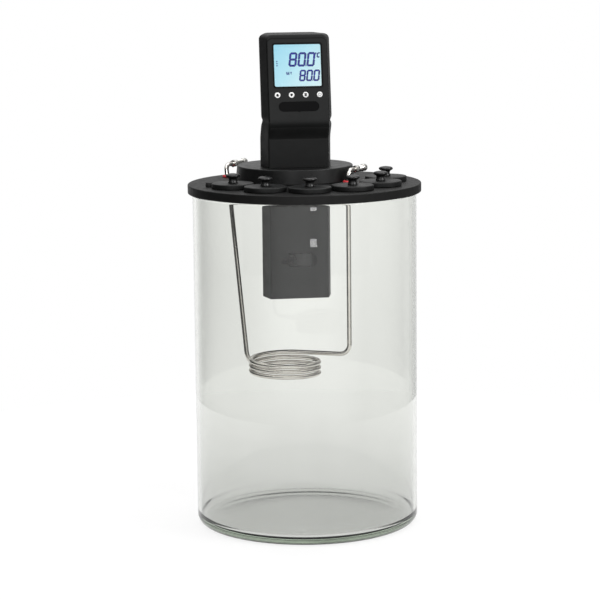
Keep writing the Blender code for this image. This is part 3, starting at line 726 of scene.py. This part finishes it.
def head_front(height):
    """Y of the head's front behind the front cover, at a height above the chin."""
    return CHIN_FRONT + 2.8 + (height - CHIN) * math.tan(LEAN)


def ease(share):
    """Smooth step from 0 to 1."""
    return share * share * (3 - 2 * share)


def head_sections(inset, base, top):
    """Plans of the head from its base, over the undercut and the chin, to its rounded top."""
    crown = 7.0
    steps = 14
    levels = [(base, COLUMN_FRONT, 0.0, FLARE_DEPTH, 0.0)]
    start, end = UNDERCUT - 2.0, CHIN + 12.0
    for n in range(steps + 1):
        share = n / steps
        height = start + (end - start) * share
        front = COLUMN_FRONT + (head_front(height) - COLUMN_FRONT) * ease(min(1.0, share * 1.35))
        flare = FLARE_DEPTH + (HEAD_FLARE_DEPTH - FLARE_DEPTH) * ease(share)
        groove = -2.2 * math.exp(-((height - 553.0) / 3.2) ** 2)
        levels.append((height, front, 0.0, flare, groove))
    levels.append((CHIN + 18.0, head_front(CHIN + 18.0), 0.0, HEAD_FLARE_DEPTH, 0.0))
    for n in range(11):
        turn = math.radians(9.0 * n)
        height = top - crown + crown * math.sin(turn)
        levels.append((height, head_front(height), crown * (1 - math.cos(turn)), HEAD_FLARE_DEPTH, 0.0))
    return [[(x, y, z) for x, y in circulator_outline(front, inset, flare, tuck, widen)]
            for z, front, tuck, flare, widen in levels]


def screw_places():
    return [(side * SCREW_ACROSS, height) for height in SCREW_HEIGHTS for side in (-1, 1)]


def make_head():
    back = (REAR - 8, REAR + 5, None, AXIS)  # depth of the openings in the rear shell
    vents = [box_outline(21.0, 1.6, 1.5, 6, (0, VENT_LOWEST + VENT_PITCH * i)) for i in range(VENT_COUNT)]
    for name, side in (("head_front_shell", -1), ("head_rear_shell", 1)):
        shell = loft(f"{name}_skin", head_sections(0.0, HEAD_BASE, HEAD_TOP), HEAD, AXIS, 40)
        near = SPLIT + side * GAP / 2
        half_space = box_outline(70, 60, 0.1, 1, (0, near - side * 60))
        hollow = head_sections(SHELL_WALL, HEAD_BASE - 5.0, HEAD_TOP - SHELL_WALL)
        tools = [loft("hollow", hollow, None, AXIS),
                 upright("half", half_space, HEAD_BASE - 10, HEAD_TOP + 10, None, AXIS)]
        if side < 0:
            opening = box_outline(36.0, 42.0, 2.0, 3, (0, 70.0))
            tools.append(facing("opening", opening, -6.0, 9.0, None, PANEL))
        else:
            tools += [facing(f"vent_{i}", vent, *back) for i, vent in enumerate(vents)]
            tools.append(facing("inlet_hole", box_outline(13.8, 10.3, 1.0, 3, INLET_SPOT), *back))
            tools += [rod(f"screw_hole_{i}", (x, back[0], z), (x, back[1], z), 2.1, None, AXIS, 24)
                      for i, (x, z) in enumerate(screw_places())]
        put(cut(shell, *tools), "circulator", "head_plastic", name)


def make_screws():
    crown = arc((2.6, 0.9), 1.0, 0, 90, 5)
    profile = [(0, -12.0), (1.7, -12.0), (1.7, 0), (3.6, 0), (3.6, 0.9), *crown[1:], (0, 2.0)]
    for i, (x, z) in enumerate(screw_places()):
        lay = AXIS @ Matrix.Translation((x, REAR + GAP, z)) @ Matrix.Rotation(-math.pi / 2, 4, "X")
        screw = lathe(f"screw_{i + 1}", profile, SCREW, lay, 40)
        cross = [upright(f"slot_{n}", box_outline(w, h, 0.15, 2), 0.9, 3.0, None, lay)
                 for n, (w, h) in enumerate(((1.9, 0.4), (0.4, 1.9)))]
        put(cut(screw, *cross), "circulator", "screw_steel", f"head_screw_{i + 1}")


def make_inlet():
    """Mains inlet: a flange, a body in the head, and three flat contacts in its recess."""
    x, z = INLET_SPOT
    flange = box_outline(16.0, 12.5, 2.5, 6, INLET_SPOT)
    body = box_outline(13.4, 9.9, 1.0, 3, INLET_SPOT)
    recess = box_outline(11.6, 8.1, 3.5, 6, INLET_SPOT)
    inlet = bevel(facing("inlet_flange", flange, REAR + GAP, REAR + 2.3, INLET, AXIS), 0.5)
    join(inlet, facing("inlet_body", body, REAR - 20, REAR + 1.0, None, AXIS))
    cut(inlet, facing("inlet_recess", recess, REAR - 15, REAR + 5, None, AXIS))
    put(inlet, "circulator", "inlet_plastic", "power_inlet")
    for i, (aside, up) in enumerate(((-7.0, -2.0), (0.0, 2.5), (7.0, -2.0))):
        outline = box_outline(1.0, 2.0, 0.3, 3, (x + aside, z + up))
        pin = facing(f"inlet_contact_{i + 1}", outline, REAR - 14.9, REAR - 2, FITTING, AXIS)
        put(bevel(pin, 0.3, 2), "circulator", "plated_fitting")


def panel_profile():
    """Outer line of the front cover, as (y, z) from its top, over the chin and down to the column."""
    lean = Matrix.Rotation(-LEAN, 3, "X")
    top = Vector((0, CHIN_FRONT, CHIN)) + lean @ Vector((0, 0, FACE_HEIGHT))
    chin = Vector((0, CHIN_FRONT, CHIN)) + lean @ Vector((0, 0, 6.0))
    heading = lean @ Vector((0, 0, -1))
    points = [top.lerp(chin, n / 6) for n in range(6)]
    foot = Vector((0, COLUMN_FRONT - GAP, FACE_FOOT))
    a, b, c, d = chin, chin + heading * 12.0, foot + Vector((0, 0, 16.0)), foot
    for n in range(21):
        t = n / 20
        points.append(a * (1 - t) ** 3 + b * 3 * t * (1 - t) ** 2 + c * 3 * t * t * (1 - t) + d * t ** 3)
    return points


def front_cover():
    """The leaning front cover, closed. It rolls over the chin and runs down into the column's front."""
    line = panel_profile()
    edge = 0.9
    round_edge = arc((FACE_HALF - edge, edge), edge, 0, -90, 6)
    shape = bmesh.new()
    rings = []
    for i, point in enumerate(line):
        ahead = (line[min(i + 1, len(line) - 1)] - line[max(i - 1, 0)]).normalized()
        inward = Vector((0, -ahead.z, ahead.y))
        thin = max(0.12, (point.z - FACE_FOOT) / (CHIN - FACE_FOOT - 1))
        thick = PLATE if point.z > CHIN - 1 else PLATE * thin
        across = [(FACE_HALF, max(thick, edge + 0.05))] + round_edge
        section = across + [(-x, d) for x, d in reversed(across)]
        rings.append([shape.verts.new((x, point.y + inward.y * d, point.z + inward.z * d))
                      for x, d in section])
    skin(shape, rings)
    plate = place_mesh("front_cover", shape, FACE, AXIS, 40)
    inside, outside = FACE_HALF - FACE_CORNER, FACE_HALF + 4
    low, high = FACE_HEIGHT - FACE_CORNER, FACE_HEIGHT + 4
    waste = [(outside, high), (outside, low), *arc((inside, low), FACE_CORNER, 0, 90, 12), (inside, high)]
    return cut(plate, *(facing(f"corner_{side}", [(side * x, z) for x, z in waste], -4, 7, None, PANEL)
                        for side in (-1, 1)))


def button_places():
    return [((i - 1.5) * BUTTON_PITCH, BUTTON_ROW) for i in range(4)]


def frame_piece(name, outer, inner, depths, gap_depths, colour):
    """Flat frame on the face: an outer outline with an inner one cut out. Depths are behind the face."""
    made = facing(name, outer, *depths, colour, PANEL)
    return cut(made, facing(f"{name}_gap", inner, *gap_depths, None, PANEL))


def make_face():
    """Front cover with its openings, the display in its window, the badge, and a painted shadow ring round
    the cover.
    """
    plate = front_cover()
    cut(plate, facing("window_hole", box_outline(32.1, 28.5, 2.2, 8, DISPLAY), -3, 6, None, PANEL),
        facing("badge_hole", box_outline(27.7, 6.7, 6.65, 16, BADGE_SPOT), -3, 1.2, None, PANEL),
        facing("badge_notch", box_outline(2.0, 0.9, 0.5, 3, (0, 15.9)), -3, 1.6, None, PANEL),
        *[rod(f"button_hole_{i}", (x, -3, z), (x, 6, z), 4.1, None, PANEL, 48)
          for i, (x, z) in enumerate(button_places())])
    put(plate, "circulator", "head_plastic", "faceplate")
    # A black ring just behind the front cover's edge: painted shadow, where the edge is in shade.
    outer = [(-41.3, 2.0), (41.3, 2.0), (41.3, 115.3), (-41.3, 115.3)]
    inner = [(-40.3, -2.0), (40.3, -2.0), (40.3, 114.2), (-40.3, 114.2)]
    shadow_ring = frame_piece("painted_shadow_ring", rounded(outer, [0.5, 0.5, 7.7, 7.7]),
                       rounded(inner, [0.5, 0.5, 6.7, 6.7]), (1.5, 3.4), (0, 5), PAINTED_SHADOW)
    put(shadow_ring, "circulator", "head_plastic")
    bezel = frame_piece("window_frame", box_outline(34.2, 30.7, 3.4, 8, DISPLAY),
                        box_outline(32.0, 28.4, 2.1, 8, DISPLAY), (-0.12, 0.3), (-3, 3), BEZEL)
    put(bezel, "circulator", "head_plastic")
    pill = facing("badge_pill", box_outline(27.4, 6.4, 6.35, 16, BADGE_SPOT), -0.1, 0.9, BADGE, PANEL)
    put(bevel(pill, 0.3), "circulator", "badge", "badge_plate")
    glass = facing("window_pane", box_outline(31.7, 28.1, 1.9, 8, DISPLAY), 0.5, 1.5, WINDOW, PANEL)
    put(bevel(glass, 0.15, 2), "circulator", "display_window", "display_window")
    screen = facing("screen_panel", box_outline(34.6, 31.6, 1.0, 4, DISPLAY), 2.8, 5.4, SCREEN, PANEL)
    put(screen, "circulator", "display_panel", "lcd_panel")
    screen_wall = frame_piece("screen_wall", box_outline(33.2, 30.2, 2.6, 6, DISPLAY),
                              box_outline(32.5, 29.5, 2.1, 6, DISPLAY), (2.0, 2.7), (0, 4), BEZEL)
    put(screen_wall, "circulator", "head_plastic")


# Bars of a digit, in shares of its width and height
SEGMENTS = {"a": ((0, 1), (1, 1)), "b": ((1, 0.5), (1, 1)), "c": ((1, 0), (1, 0.5)), "d": ((0, 0), (1, 0)),
            "e": ((0, 0), (0, 0.5)), "f": ((0, 0.5), (0, 1)), "g": ((0, 0.5), (1, 0.5))}
SEGMENT_FRONT = 2.45  # behind the face
SEGMENT_THICKNESS = 0.2


def flat_shape(shape, outline, front, back):
    """Adds an outline seen from the front, carried from front to back."""
    skin(shape, [[shape.verts.new((x, y, z)) for x, z in outline] for y in (front, back)])


def add_bar(shape, start, end, half, trim=0.0):
    """One bar of a digit: a flat strip with pointed ends, standing a little off the screen."""
    start, end = Vector(start), Vector(end)
    along = (end - start).normalized()
    side = Vector((-along.y, along.x)) * half
    start, end = start + along * trim, end - along * trim
    outline = [start, start + along * half + side, end - along * half + side, end, end - along * half - side,
               start + along * half - side]
    flat_shape(shape, outline, SEGMENT_FRONT, SEGMENT_FRONT + SEGMENT_THICKNESS)


def add_digit(shape, bars, left, low, wide, high, half, slant=0.13):
    """Digit or letter made of the named bars, with its lower left corner at (left, low)."""
    for bar in bars:
        ends = [(left + u * wide + slant * v * high, low + v * high) for u, v in SEGMENTS[bar]]
        add_bar(shape, *ends, half, -half * 0.35)


def make_digits():
    """A reading over a set point with their decimal points, a unit, a short word and three marks."""
    shape = bmesh.new()
    eight, nought = "abcdefg", "abcdef"
    for i, bars in enumerate((eight, nought, nought)):
        add_digit(shape, bars, -11.0 + 12.3 * i, 78.2, 8.2, 16.6, 1.45)
        add_digit(shape, bars, 2.6 + 9.6 * i, 58.1, 6.3, 13.2, 1.2)
    add_bar(shape, (11.6, 77.0), (11.8, 79.0), 0.9)
    add_bar(shape, (20.3, 57.2), (20.5, 58.9), 0.75)
    add_digit(shape, "adef", 27.4, 89.4, 3.2, 5.4, 0.95)
    add_digit(shape, nought, 24.9, 93.6, 1.0, 1.8, 0.6)
    for i, bars in enumerate(("acdfg", "adefg")):
        add_digit(shape, bars, -15.4 + 2.7 * i, 66.4, 1.6, 2.9, 0.5, 0.0)
    add_bar(shape, (-10.2, 69.3), (-7.8, 69.3), 0.5)
    add_bar(shape, (-9.0, 66.3), (-9.0, 69.3), 0.5)
    for z in (84.2, 81.4, 78.6):
        add_bar(shape, (-29.0, z), (-26.7, z), 0.8)
    put(place_mesh("screen_segments", shape, SEGMENT, PANEL, 20), "circulator", "display_panel")


def symbol_outlines(name):
    """Flat outlines of a button's symbol, in millimetres round the button's centre."""
    arrow = [(-2.5, -0.4), (0.0, 2.2), (2.5, -0.4), (1.5, -0.4), (1.5, -1.9), (-1.5, -1.9), (-1.5, -0.4)]
    if name == "up":
        return [arrow]
    if name == "down":
        return [[(-x, -y) for x, y in arrow]]
    if name == "menu":
        return [*(box_outline(2.0, 0.55, 0.4, 3, (0, z)) for z in (-1.6, 0.0, 1.6)),
                box_outline(0.6, 2.3, 0.4, 3)]
    ring = arc((0, 0), 2.3, 130, 410, 24) + arc((0, 0), 1.5, 410, 130, 24)
    return [ring, box_outline(0.4, 1.15, 0.3, 3, (0, 1.3))]


def make_buttons():
    cap = [(0, -0.5), (2.9, -0.5), *arc((3.1, 0.2), 0.7, -90, 0, 5), (3.8, 3.0), (4.9, 3.0), (4.9, 4.2),
           (0, 4.2)]
    for name, (x, z) in zip(("up", "down", "menu", "power"), button_places()):
        at = PANEL @ Matrix.Translation((x, 0, z))
        lay = at @ Matrix.Rotation(-math.pi / 2, 4, "X")
        put(lathe(f"cap_{name}", cap, WHITE, lay, 56), f"{name}_key", "button_caps", f"button_{name}")
        shape = bmesh.new()
        for outline in symbol_outlines(name):
            flat_shape(shape, outline, -0.62, -0.45)
        ink = GREY_INK if name == "power" else INK
        put(place_mesh(f"symbol_{name}", shape, ink, at, 20), f"{name}_key", "button_caps")


def make_collar():
    under = COVER_UNDER - COVER_STEP_DEPTH
    base = COVER_TOP + GAP
    spigot = OPENING_RADIUS - 0.5
    profile = [(0, under), (spigot - 1.0, under), (spigot, under + 1.0), (spigot, base), (81.0, base),
               *arc((COLLAR_BASE - 0.8, base + 0.8), 0.8, -60, 0, 3), (79.7, COLLAR_UPPER - 1.0),
               *arc((COLLAR_TOP - 1.2, COLLAR_UPPER - 1.2), 1.2, 10, 90, 5), (0, COLLAR_UPPER)]
    collar = lathe("collar_ring", profile, COLLAR, over(COLLAR_AT), 192)
    hole = circulator_outline(COLUMN_FRONT, SHROUD_INSET - 0.4)
    cut(collar, upright("collar_hole", hole, under - 5, COLLAR_UPPER + 5, None, AXIS))
    put(collar, "collar", "collar_plastic", "mounting_collar")


def make_shroud():
    top = COLLAR_UPPER
    skin_outline = circulator_outline(COLUMN_FRONT, SHROUD_INSET)
    hollow = circulator_outline(COLUMN_FRONT, SHROUD_INSET + SHELL_WALL)
    shroud = upright("shroud_skin", skin_outline, SHROUD_BOTTOM, top, SHROUD, AXIS)
    half_long, half_high, lip_width, lip_depth = SLOT_LENGTH / 2, SLOT_HEIGHT / 2, 1.6, 0.7
    slot = box_outline(half_long, half_high, half_high - 0.05, 20, (0, SLOT_CENTRE))
    lip = box_outline(half_long + lip_width, half_high + lip_width, half_high + 1.5, 20, (0, SLOT_CENTRE))
    cut(shroud, upright("hollow", hollow, SHROUD_BOTTOM - 5, top + 5, None, AXIS),
        facing("slot", slot, COLUMN_FRONT - 5, COLUMN_FRONT + 10, None, AXIS),
        facing("slot_lip", lip, COLUMN_FRONT - 5, COLUMN_FRONT + SHROUD_INSET + lip_depth, None, AXIS))
    put(shroud, "circulator", "shroud_plastic", "pump_shroud")


def make_nozzle():
    """Hub with a short spout, and a curved shield that closes the slot beside the spout."""
    across, back = NOZZLE_PIVOT
    spot = Matrix.Translation((AXIS_AT.x + across, AXIS_AT.y + back, SLOT_CENTRE))
    along = Vector((-math.sin(NOZZLE_ANGLE), -math.cos(NOZZLE_ANGLE), 0))
    hub = [(0, -19), (8.0, -19), (8.4, -18.6), (8.4, 7.5), (7.6, 8.5), (0, 8.5)]
    nozzle = lathe("nozzle_body", hub, PUMP, spot, 48)
    lay = spot @ along.to_track_quat("Z", "Y").to_matrix().to_4x4()
    lip = 0.8
    spout = [(0, 0), (NOZZLE_RADIUS, 0), (NOZZLE_RADIUS, NOZZLE_REACH - lip),
             *arc((NOZZLE_RADIUS - lip, NOZZLE_REACH - lip), lip, 0, 90, 4), (0, NOZZLE_REACH)]
    join(nozzle, lathe("nozzle_tube", spout, None, lay, 48))
    shield = arc((0, 0), 23.5, -165, -68, 28) + arc((0, 0), 22.0, -68, -165, 28)
    join(nozzle, upright("nozzle_shield", shield, -8.6, 7.4, None, spot),
         upright("shield_web", [(-1.5, 0), (-1.0, -22.8), (1.0, -22.8), (1.5, 0)], -1.5, 1.5, None, spot))
    cut(nozzle, rod("nozzle_bore", (0, 0, -22), (0, 0, 4), 6.0, None, spot, 32),
        rod("nozzle_channel", (0, 0, 0), along * (NOZZLE_REACH + 5), NOZZLE_RADIUS - 1.6, None, spot, 40))
    put(nozzle, "nozzle", "pump_plastic", "outlet_nozzle")


def dress_cad():
    """Better materials for the CAD nodes that stay."""
    for colour, names in ((BOARD, ["control_board"]), (MOTOR, ["motor"]), (CHASSIS, ["chassis_plate"]),
                          (PUMP, ["pump_housing", "impeller", "cooling_fan"]), (SHROUD, ["shroud_base"]),
                          (STEEL, ["shaft_tube", "drive_shaft", "heater_element", "temperature_probe",
                                   "float_stem"]), (FOAM, ["level_float"])):
        for name in names:
            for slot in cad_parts[name].material_slots:
                slot.material = colour


# ---- studio

FLOOR_RADIUS = 900.0
FLOOR_DROP = 0.4  # below the jar's underside
FLOOR_GLOW = 0.8

# Brightness by direction. Each place runs from 0 to 1 along an axis, from -X, -Y or -Z.
ROOM_BY_Y = [(0.0, 0.85), (0.12, 0.6), (0.3, 0.3), (0.6, 0.45), (0.88, 0.72)]
ROOM_BY_X = [(0.1, 0.06), (0.3, 0.2), (0.43, 1.0), (0.66, 1.0), (0.94, 0.3)]
CEILING_BY_Z = [(0.66, 0.0), (0.95, 1.7)]
LOW_BY_Y = [(0.0, 1.3), (0.08, 1.1), (0.2, 0.3), (0.34, 0.06), (0.9, 0.12), (0.97, 1.0)]
LOW_BY_X = [(0.78, 0.0), (0.95, 0.4)]
BACKDROP_BY_Z = [(0.4, 0.98), (0.44, 1.0), (0.47, 0.97)]
BACKDROP_BY_X = [(0.42, 1.04), (0.51, 0.83), (0.57, 1.08), (0.66, 1.04)]
BACKDROP_LOW = 1.08  # the backdrop where it meets the floor


def greys(tree, source, tones):
    return ramp(tree, source, [(at, (tone, tone, tone)) for at, tone in tones])


def mixed(tree, factor, first, second, blend="MIX"):
    made = tree.nodes.new("ShaderNodeMix")
    made.data_type = "RGBA"
    made.blend_type = blend
    for socket, value in ((made.inputs[0], factor), (made.inputs[6], first), (made.inputs[7], second)):
        if isinstance(value, bpy.types.NodeSocket):
            tree.links.new(value, socket)
        else:
            socket.default_value = value
    return made.outputs[2]


def make_floor():
    """Pale round floor that glows, so that it shows as white round the jar."""
    shape = bmesh.new()
    bmesh.ops.create_circle(shape, cap_ends=True, radius=FLOOR_RADIUS, segments=128)
    floor = place_mesh("studio_floor", shape, None, Matrix.Translation((0, 0, -FLOOR_DROP)))
    made, tree, shader = new_material("floor_paper")
    tone = greys(tree, noise(tree, 6.0, 2.0), [(0.3, 0.17), (0.7, 0.19)])
    tree.links.new(tone, shader.inputs["Base Color"])
    set_inputs(shader, {"Emission Color": (1.0, 1.0, 1.0, 1.0), "Emission Strength": FLOOR_GLOW,
                        "Roughness": 0.9, "Specular IOR Level": 0.1})
    floor.data.materials.append(made)


def fewer(tree, count, most):
    """1 while a light path's count is at most this many, otherwise 0."""
    return spread(tree, count, 1.0, 0.0, most + 0.4, most + 0.6)


def make_world():
    """White behind the object, a pale backdrop through its glass, and a room for all other light.

    The room is bright in front, behind and above, and dark at its sides, so that steel and glass get edges.
    """
    world = bpy.data.worlds.new("studio")
    world.use_nodes = True
    bpy.context.scene.world = world
    tree = world.node_tree
    heading = directions(tree, "Generated")
    x, y, z = (spread(tree, heading.outputs[axis], 0.0, 1.0, -1.0, 1.0) for axis in "XYZ")
    walls = mixed(tree, 1.0, greys(tree, y, ROOM_BY_Y), greys(tree, x, ROOM_BY_X), "MULTIPLY")
    upper = mixed(tree, 1.0, walls, greys(tree, z, CEILING_BY_Z), "LIGHTEN")
    lower = mixed(tree, 1.0, greys(tree, y, LOW_BY_Y), greys(tree, x, LOW_BY_X), "LIGHTEN")
    room = mixed(tree, spread(tree, z, 0.0, 1.0, 0.48, 0.52), lower, upper)
    above_floor = spread(tree, z, 0.0, 1.0, 0.4, 0.425)
    across = mixed(tree, above_floor, (*[BACKDROP_LOW] * 3, 1.0), greys(tree, x, BACKDROP_BY_X))
    backdrop = mixed(tree, 1.0, greys(tree, z, BACKDROP_BY_Z), across, "MULTIPLY")
    path = tree.nodes.new("ShaderNodeLightPath")
    direct = calculated(tree, "MAXIMUM", fewer(tree, path.outputs["Glossy Depth"], 0),
                        fewer(tree, path.outputs["Transmission Depth"], 2))
    direct = calculated(tree, "MULTIPLY", direct, fewer(tree, path.outputs["Diffuse Depth"], 0))
    direct = calculated(tree, "MULTIPLY", direct, path.outputs["Is Transmission Ray"])
    seen = mixed(tree, direct, room, backdrop)
    white = mixed(tree, path.outputs["Is Camera Ray"], seen, (1.0, 1.0, 1.0, 1.0))
    tree.links.new(white, tree.nodes["Background"].inputs["Color"])


def soft_light(name, at, aim, size, watts, tall=None):
    """Rectangular light, square unless its height is given. Places are in metres."""
    data = bpy.data.lights.new(name, "AREA")
    data.shape = "RECTANGLE"
    data.size = size
    data.size_y = tall or size
    data.energy = watts
    made = bpy.data.objects.new(name, data)
    bpy.context.scene.collection.objects.link(made)
    made.location = at
    made.rotation_euler = (Vector(aim) - Vector(at)).to_track_quat("-Z", "Y").to_euler()
    made.visible_camera = False
    made.visible_transmission = False


def make_lights():
    soft_light("key", (2.0, -1.6, 1.7), (0, 0, 0.4), 1.0, 34.0)
    soft_light("fill", (-0.9, -2.8, 1.7), (0, 0, 0.4), 0.8, 14.0)
    soft_light("top", (0.3, 0.6, 2.8), (0, 0, 0.2), 1.8, 9.0)
    for height in (0.082, 0.167):
        soft_light(f"glint_{height:.2f}", (0, -2.5, height), (0, 0, height + 0.3), 0.28, 0.14, 0.018)


def make_camera():
    """Camera a little above the bath and to the left of its front, tilted down."""
    yaw, tilt, roll = math.radians(8.2), math.radians(9.2917), math.radians(-0.5988)
    aim, distance = (-7.594, 0, 307.637), 3159.77
    lay = Matrix.Rotation(-yaw, 4, "Z") @ Matrix.Translation(aim)
    lay = lay @ Matrix.Rotation(math.pi / 2 - tilt, 4, "X") @ Matrix.Translation((0, 0, distance))
    lay = lay @ Matrix.Rotation(roll, 4, "Z")
    lay.translation *= MM
    data = bpy.data.cameras.new("camera")
    data.sensor_width = 36.0
    data.lens = 138.2685
    made = bpy.data.objects.new("camera", data)
    bpy.context.scene.collection.objects.link(made)
    made.matrix_world = lay
    bpy.context.scene.camera = made


make_camera()
make_jar()
make_cover()
for port, spot_at in PORTS.items():
    make_port(port, spot_at)
make_plug()
make_coil()
make_collar()
make_head()
make_screws()
make_inlet()
make_face()
make_digits()
make_buttons()
make_shroud()
make_nozzle()
dress_cad()
make_floor()
make_world()
make_lights()
bpy.context.scene.view_settings.view_transform = "Standard"
